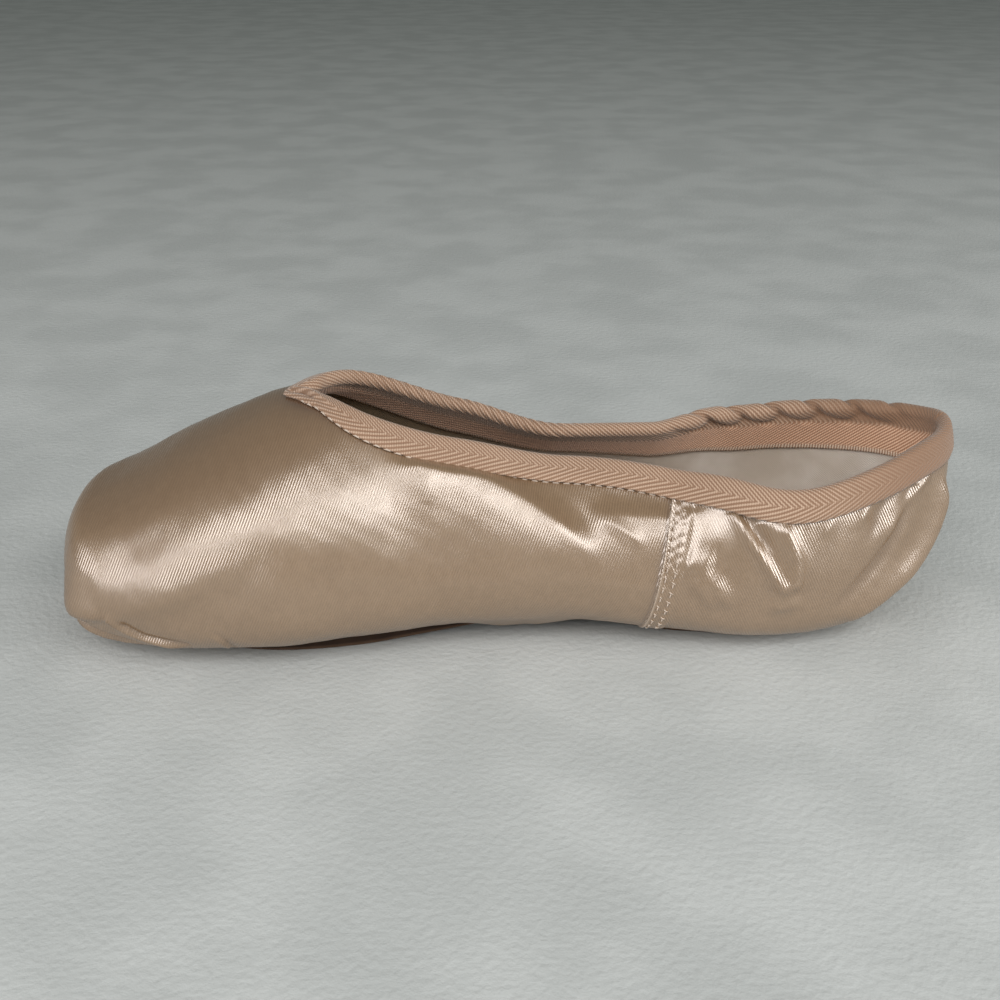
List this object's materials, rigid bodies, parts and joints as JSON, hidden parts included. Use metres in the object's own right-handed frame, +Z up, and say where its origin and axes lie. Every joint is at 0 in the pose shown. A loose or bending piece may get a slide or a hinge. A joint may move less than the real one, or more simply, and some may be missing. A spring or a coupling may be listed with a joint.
{
  "type": "pointe shoe",
  "caption": "Hollow satin pointe shoe with stiff box and flat platform, narrow leather outsole, low throat and twill tape collar, empty and unbent.",
  "frame": {"origin": "on the floor under the middle of the shoe's overall length and width", "axes": "+X from toe to heel along the shoe, +Y away from the camera's side, +Z up from the floor; the side in the picture is the -Y side"},
  "size_m": [0.2318, 0.0794, 0.0651],
  "materials": {
    "satin": "glossy peach satin over a stiff box",
    "tape": "matt herringbone twill tape",
    "sole_leather": "brown suede leather, matt",
    "insole_cloth": "off-white cotton, matt"
  },
  "bodies": {
    "root": {"upper": "satin", "collar_binding": "tape", "outsole": "sole_leather", "insole": "insole_cloth"}
  },
  "joints": []
}
